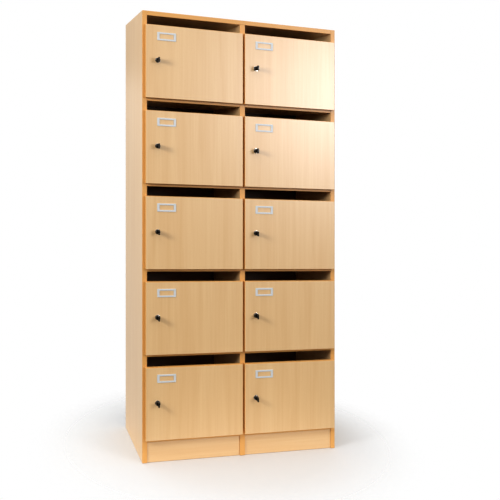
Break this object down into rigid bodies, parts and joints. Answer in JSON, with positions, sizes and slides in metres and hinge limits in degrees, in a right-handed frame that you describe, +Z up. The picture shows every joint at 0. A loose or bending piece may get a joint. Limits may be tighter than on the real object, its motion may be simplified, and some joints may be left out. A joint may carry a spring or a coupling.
{
  "type": "locker cabinet",
  "caption": "Tall beech-effect board cabinet with rows of keyed compartment doors, an open letter slot above each door, and a plinth base.",
  "frame": {"origin": "on the floor, at the middle of the carcass's width and depth", "axes": "+X to the right along the front, +Y towards the back, +Z up"},
  "size_m": [0.834, 0.4626, 1.8],
  "materials": {
    "board": "beech-effect faced chipboard, satin",
    "door_board": "beech-effect faced chipboard, satin",
    "back_board": "brown faced thin fibreboard",
    "label_frame": "satin aluminium lacquer",
    "nickel": "nickel plated",
    "lock_turning": "nickel plated plug, black plastic key",
    "hinge_steel": "nickel plated steel"
  },
  "bodies": {
    "carcass": {"side_panel_left": "board", "side_panel_right": "board", "centre_partition": "board", "top_panel": "board", "shelves": "board", "bottom_boards": "board", "plinth_boards": "board", "back_panel": "back_board", "hinge_arms": "hinge_steel", "lock_strikes": "hinge_steel"},
    "door_body_left_1": {"door_left_1": "door_board", "label_frame_left_1": "label_frame", "door_fittings_left_1": "nickel"},
    "hinge_left_1": {"hinge_links_left_1": "hinge_steel"},
    "lock_left_1": {"lock_and_key_left_1": "lock_turning"},
    "door_body_left_2": {"door_left_2": "door_board", "label_frame_left_2": "label_frame", "door_fittings_left_2": "nickel"},
    "hinge_left_2": {"hinge_links_left_2": "hinge_steel"},
    "lock_left_2": {"lock_and_key_left_2": "lock_turning"},
    "door_body_left_3": {"door_left_3": "door_board", "label_frame_left_3": "label_frame", "door_fittings_left_3": "nickel"},
    "hinge_left_3": {"hinge_links_left_3": "hinge_steel"},
    "lock_left_3": {"lock_and_key_left_3": "lock_turning"},
    "door_body_left_4": {"door_left_4": "door_board", "label_frame_left_4": "label_frame", "door_fittings_left_4": "nickel"},
    "hinge_left_4": {"hinge_links_left_4": "hinge_steel"},
    "lock_left_4": {"lock_and_key_left_4": "lock_turning"},
    "door_body_left_5": {"door_left_5": "door_board", "label_frame_left_5": "label_frame", "door_fittings_left_5": "nickel"},
    "hinge_left_5": {"hinge_links_left_5": "hinge_steel"},
    "lock_left_5": {"lock_and_key_left_5": "lock_turning"},
    "door_body_right_1": {"door_right_1": "door_board", "label_frame_right_1": "label_frame", "door_fittings_right_1": "nickel"},
    "hinge_right_1": {"hinge_links_right_1": "hinge_steel"},
    "lock_right_1": {"lock_and_key_right_1": "lock_turning"},
    "door_body_right_2": {"door_right_2": "door_board", "label_frame_right_2": "label_frame", "door_fittings_right_2": "nickel"},
    "hinge_right_2": {"hinge_links_right_2": "hinge_steel"},
    "lock_right_2": {"lock_and_key_right_2": "lock_turning"},
    "door_body_right_3": {"door_right_3": "door_board", "label_frame_right_3": "label_frame", "door_fittings_right_3": "nickel"},
    "hinge_right_3": {"hinge_links_right_3": "hinge_steel"},
    "lock_right_3": {"lock_and_key_right_3": "lock_turning"},
    "door_body_right_4": {"door_right_4": "door_board", "label_frame_right_4": "label_frame", "door_fittings_right_4": "nickel"},
    "hinge_right_4": {"hinge_links_right_4": "hinge_steel"},
    "lock_right_4": {"lock_and_key_right_4": "lock_turning"},
    "door_body_right_5": {"door_right_5": "door_board", "label_frame_right_5": "label_frame", "door_fittings_right_5": "nickel"},
    "hinge_right_5": {"hinge_links_right_5": "hinge_steel"},
    "lock_right_5": {"lock_and_key_right_5": "lock_turning"}
  },
  "joints": [
    {"name": "hinge_link_left_1", "type": "hinge", "parent": "carcass", "child": "hinge_left_1", "pos_m": [-0.0342, -0.2151, 1.59875], "axis": [0, 0, 1], "range_deg": [-61.5, 0]},
    {"name": "door_left_1", "type": "hinge", "parent": "hinge_left_1", "child": "door_body_left_1", "pos_m": [-0.0182, -0.2097, 1.59875], "axis": [0, 0, 1], "range_deg": [0, 156]},
    {"name": "lock_left_1", "type": "hinge", "parent": "door_body_left_1", "child": "lock_left_1", "pos_m": [-0.3592, -0.216, 1.6035], "axis": [0, -1, 0], "range_deg": [0, 90]},
    {"name": "hinge_link_left_2", "type": "hinge", "parent": "carcass", "child": "hinge_left_2", "pos_m": [-0.0342, -0.2151, 1.25875], "axis": [0, 0, 1], "range_deg": [-61.5, 0]},
    {"name": "door_left_2", "type": "hinge", "parent": "hinge_left_2", "child": "door_body_left_2", "pos_m": [-0.0182, -0.2097, 1.25875], "axis": [0, 0, 1], "range_deg": [0, 156]},
    {"name": "lock_left_2", "type": "hinge", "parent": "door_body_left_2", "child": "lock_left_2", "pos_m": [-0.3592, -0.216, 1.2635], "axis": [0, -1, 0], "range_deg": [0, 90]},
    {"name": "hinge_link_left_3", "type": "hinge", "parent": "carcass", "child": "hinge_left_3", "pos_m": [-0.0342, -0.2151, 0.91875], "axis": [0, 0, 1], "range_deg": [-61.5, 0]},
    {"name": "door_left_3", "type": "hinge", "parent": "hinge_left_3", "child": "door_body_left_3", "pos_m": [-0.0182, -0.2097, 0.91875], "axis": [0, 0, 1], "range_deg": [0, 156]},
    {"name": "lock_left_3", "type": "hinge", "parent": "door_body_left_3", "child": "lock_left_3", "pos_m": [-0.3592, -0.216, 0.9235], "axis": [0, -1, 0], "range_deg": [0, 90]},
    {"name": "hinge_link_left_4", "type": "hinge", "parent": "carcass", "child": "hinge_left_4", "pos_m": [-0.0342, -0.2151, 0.57875], "axis": [0, 0, 1], "range_deg": [-61.5, 0]},
    {"name": "door_left_4", "type": "hinge", "parent": "hinge_left_4", "child": "door_body_left_4", "pos_m": [-0.0182, -0.2097, 0.57875], "axis": [0, 0, 1], "range_deg": [0, 156]},
    {"name": "lock_left_4", "type": "hinge", "parent": "door_body_left_4", "child": "lock_left_4", "pos_m": [-0.3592, -0.216, 0.5835], "axis": [0, -1, 0], "range_deg": [0, 90]},
    {"name": "hinge_link_left_5", "type": "hinge", "parent": "carcass", "child": "hinge_left_5", "pos_m": [-0.0342, -0.2151, 0.23875], "axis": [0, 0, 1], "range_deg": [-61.5, 0]},
    {"name": "door_left_5", "type": "hinge", "parent": "hinge_left_5", "child": "door_body_left_5", "pos_m": [-0.0182, -0.2097, 0.23875], "axis": [0, 0, 1], "range_deg": [0, 156]},
    {"name": "lock_left_5", "type": "hinge", "parent": "door_body_left_5", "child": "lock_left_5", "pos_m": [-0.3592, -0.216, 0.2435], "axis": [0, -1, 0], "range_deg": [0, 90]},
    {"name": "hinge_link_right_1", "type": "hinge", "parent": "carcass", "child": "hinge_right_1", "pos_m": [0.3772, -0.2151, 1.59875], "axis": [0, 0, 1], "range_deg": [-61.5, 0]},
    {"name": "door_right_1", "type": "hinge", "parent": "hinge_right_1", "child": "door_body_right_1", "pos_m": [0.3932, -0.2097, 1.59875], "axis": [0, 0, 1], "range_deg": [0, 156]},
    {"name": "lock_right_1", "type": "hinge", "parent": "door_body_right_1", "child": "lock_right_1", "pos_m": [0.0522, -0.216, 1.6035], "axis": [0, -1, 0], "range_deg": [0, 90]},
    {"name": "hinge_link_right_2", "type": "hinge", "parent": "carcass", "child": "hinge_right_2", "pos_m": [0.3772, -0.2151, 1.25875], "axis": [0, 0, 1], "range_deg": [-61.5, 0]},
    {"name": "door_right_2", "type": "hinge", "parent": "hinge_right_2", "child": "door_body_right_2", "pos_m": [0.3932, -0.2097, 1.25875], "axis": [0, 0, 1], "range_deg": [0, 156]},
    {"name": "lock_right_2", "type": "hinge", "parent": "door_body_right_2", "child": "lock_right_2", "pos_m": [0.0522, -0.216, 1.2635], "axis": [0, -1, 0], "range_deg": [0, 90]},
    {"name": "hinge_link_right_3", "type": "hinge", "parent": "carcass", "child": "hinge_right_3", "pos_m": [0.3772, -0.2151, 0.91875], "axis": [0, 0, 1], "range_deg": [-61.5, 0]},
    {"name": "door_right_3", "type": "hinge", "parent": "hinge_right_3", "child": "door_body_right_3", "pos_m": [0.3932, -0.2097, 0.91875], "axis": [0, 0, 1], "range_deg": [0, 156]},
    {"name": "lock_right_3", "type": "hinge", "parent": "door_body_right_3", "child": "lock_right_3", "pos_m": [0.0522, -0.216, 0.9235], "axis": [0, -1, 0], "range_deg": [0, 90]},
    {"name": "hinge_link_right_4", "type": "hinge", "parent": "carcass", "child": "hinge_right_4", "pos_m": [0.3772, -0.2151, 0.57875], "axis": [0, 0, 1], "range_deg": [-61.5, 0]},
    {"name": "door_right_4", "type": "hinge", "parent": "hinge_right_4", "child": "door_body_right_4", "pos_m": [0.3932, -0.2097, 0.57875], "axis": [0, 0, 1], "range_deg": [0, 156]},
    {"name": "lock_right_4", "type": "hinge", "parent": "door_body_right_4", "child": "lock_right_4", "pos_m": [0.0522, -0.216, 0.5835], "axis": [0, -1, 0], "range_deg": [0, 90]},
    {"name": "hinge_link_right_5", "type": "hinge", "parent": "carcass", "child": "hinge_right_5", "pos_m": [0.3772, -0.2151, 0.23875], "axis": [0, 0, 1], "range_deg": [-61.5, 0]},
    {"name": "door_right_5", "type": "hinge", "parent": "hinge_right_5", "child": "door_body_right_5", "pos_m": [0.3932, -0.2097, 0.23875], "axis": [0, 0, 1], "range_deg": [0, 156]},
    {"name": "lock_right_5", "type": "hinge", "parent": "door_body_right_5", "child": "lock_right_5", "pos_m": [0.0522, -0.216, 0.2435], "axis": [0, -1, 0], "range_deg": [0, 90]}
  ],
  "couplings": [
    {"joint": "hinge_link_left_1", "follows": "door_left_1", "ratio": -0.39394},
    {"joint": "hinge_link_left_2", "follows": "door_left_2", "ratio": -0.39394},
    {"joint": "hinge_link_left_3", "follows": "door_left_3", "ratio": -0.39394},
    {"joint": "hinge_link_left_4", "follows": "door_left_4", "ratio": -0.39394},
    {"joint": "hinge_link_left_5", "follows": "door_left_5", "ratio": -0.39394},
    {"joint": "hinge_link_right_1", "follows": "door_right_1", "ratio": -0.39394},
    {"joint": "hinge_link_right_2", "follows": "door_right_2", "ratio": -0.39394},
    {"joint": "hinge_link_right_3", "follows": "door_right_3", "ratio": -0.39394},
    {"joint": "hinge_link_right_4", "follows": "door_right_4", "ratio": -0.39394},
    {"joint": "hinge_link_right_5", "follows": "door_right_5", "ratio": -0.39394}
  ]
}
